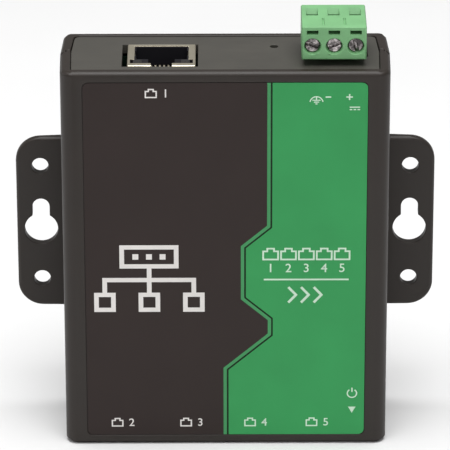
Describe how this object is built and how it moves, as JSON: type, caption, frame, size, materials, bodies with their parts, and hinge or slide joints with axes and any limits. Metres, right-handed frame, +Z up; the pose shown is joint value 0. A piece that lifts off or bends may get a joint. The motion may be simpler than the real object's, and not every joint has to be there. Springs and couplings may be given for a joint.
{
  "type": "ethernet switch",
  "caption": "Upright wall-mounting network switch: dark two-shell case with ears and keyholes, shielded jacks at both ends and a green pluggable screw terminal.",
  "frame": {"origin": "middle of the bottom end of the case, in the plane of its rim", "axes": "+X to the right of the printed front, +Y from the front to the rear, +Z up to the end with the single port and the terminal"},
  "size_m": [0.1, 0.0254, 0.1057],
  "materials": {
    "case_plastic": "fine texture",
    "label_film": "satin print",
    "board": "solder mask",
    "tin_shell": "tin plated",
    "black_insert": "moulded",
    "gold": "plated",
    "lamp": "translucent",
    "green_plug": "moulded",
    "screw_steel": "zinc plated",
    "tin_brass": "tin plated",
    "chip_black": "moulded",
    "can_metal": "satin",
    "ferrite": "sintered",
    "fuse_body": "moulded"
  },
  "bodies": {
    "chassis": {"bottom_end_panel": "case_plastic", "case_screws": "screw_steel", "circuit_board": "board", "crystal": "can_metal", "front_cover": "case_plastic", "front_label": "label_film", "header_pins": "tin_brass", "input_capacitors": "chip_black", "input_fuse": "fuse_body", "line_transformer_1": "chip_black", "line_transformer_2": "chip_black", "line_transformer_3": "chip_black", "line_transformer_4": "chip_black", "line_transformer_5": "chip_black", "port_1_contacts": "gold", "port_1_housing": "black_insert", "port_1_left_led": "lamp", "port_1_right_led": "lamp", "port_1_shield": "tin_shell", "port_2_contacts": "gold", "port_2_left_led": "lamp", "port_2_right_led": "lamp", "port_3_contacts": "gold", "port_3_left_led": "lamp", "port_3_right_led": "lamp", "port_4_contacts": "gold", "port_4_left_led": "lamp", "port_4_right_led": "lamp", "port_5_contacts": "gold", "port_5_left_led": "lamp", "port_5_right_led": "lamp", "port_block_housing": "black_insert", "port_block_shield": "tin_shell", "power_inductor": "ferrite", "power_led": "lamp", "power_led_holder": "black_insert", "rear_base": "case_plastic", "regulator_chip": "chip_black", "switch_chip": "chip_black", "terminal_header": "green_plug", "top_end_panel": "case_plastic"},
    "plug": {"plug_housing": "green_plug", "plug_contacts": "tin_brass"},
    "clamp_screw_left": {"clamp_screw_left": "screw_steel"},
    "clamp_cage_left": {"clamp_cage_left": "screw_steel"},
    "clamp_screw_middle": {"clamp_screw_middle": "screw_steel"},
    "clamp_cage_middle": {"clamp_cage_middle": "screw_steel"},
    "clamp_screw_right": {"clamp_screw_right": "screw_steel"},
    "clamp_cage_right": {"clamp_cage_right": "screw_steel"}
  },
  "joints": [
    {"name": "plug_pull", "type": "slide", "parent": "chassis", "child": "plug", "axis": [0, 0, 1], "range_m": [0, 0.012]},
    {"name": "clamp_screw_left_turn", "type": "hinge", "parent": "plug", "child": "clamp_screw_left", "pos_m": [0.0202, -0.0075, 0.1008], "axis": [0, 1, 0], "range_deg": [0, 1261]},
    {"name": "clamp_cage_left_rise", "type": "slide", "parent": "plug", "child": "clamp_cage_left", "axis": [0, -1, 0], "range_m": [0, 0.00175]},
    {"name": "clamp_screw_middle_turn", "type": "hinge", "parent": "plug", "child": "clamp_screw_middle", "pos_m": [0.0252, -0.0075, 0.1008], "axis": [0, 1, 0], "range_deg": [0, 1261]},
    {"name": "clamp_cage_middle_rise", "type": "slide", "parent": "plug", "child": "clamp_cage_middle", "axis": [0, -1, 0], "range_m": [0, 0.00175]},
    {"name": "clamp_screw_right_turn", "type": "hinge", "parent": "plug", "child": "clamp_screw_right", "pos_m": [0.0302, -0.0075, 0.1008], "axis": [0, 1, 0], "range_deg": [0, 1261]},
    {"name": "clamp_cage_right_rise", "type": "slide", "parent": "plug", "child": "clamp_cage_right", "axis": [0, -1, 0], "range_m": [0, 0.00175]}
  ],
  "couplings": [
    {"joint": "clamp_screw_left_turn", "follows": "clamp_cage_left_rise", "rad_per_m": 12566},
    {"joint": "clamp_screw_middle_turn", "follows": "clamp_cage_middle_rise", "rad_per_m": 12566},
    {"joint": "clamp_screw_right_turn", "follows": "clamp_cage_right_rise", "rad_per_m": 12566}
  ]
}
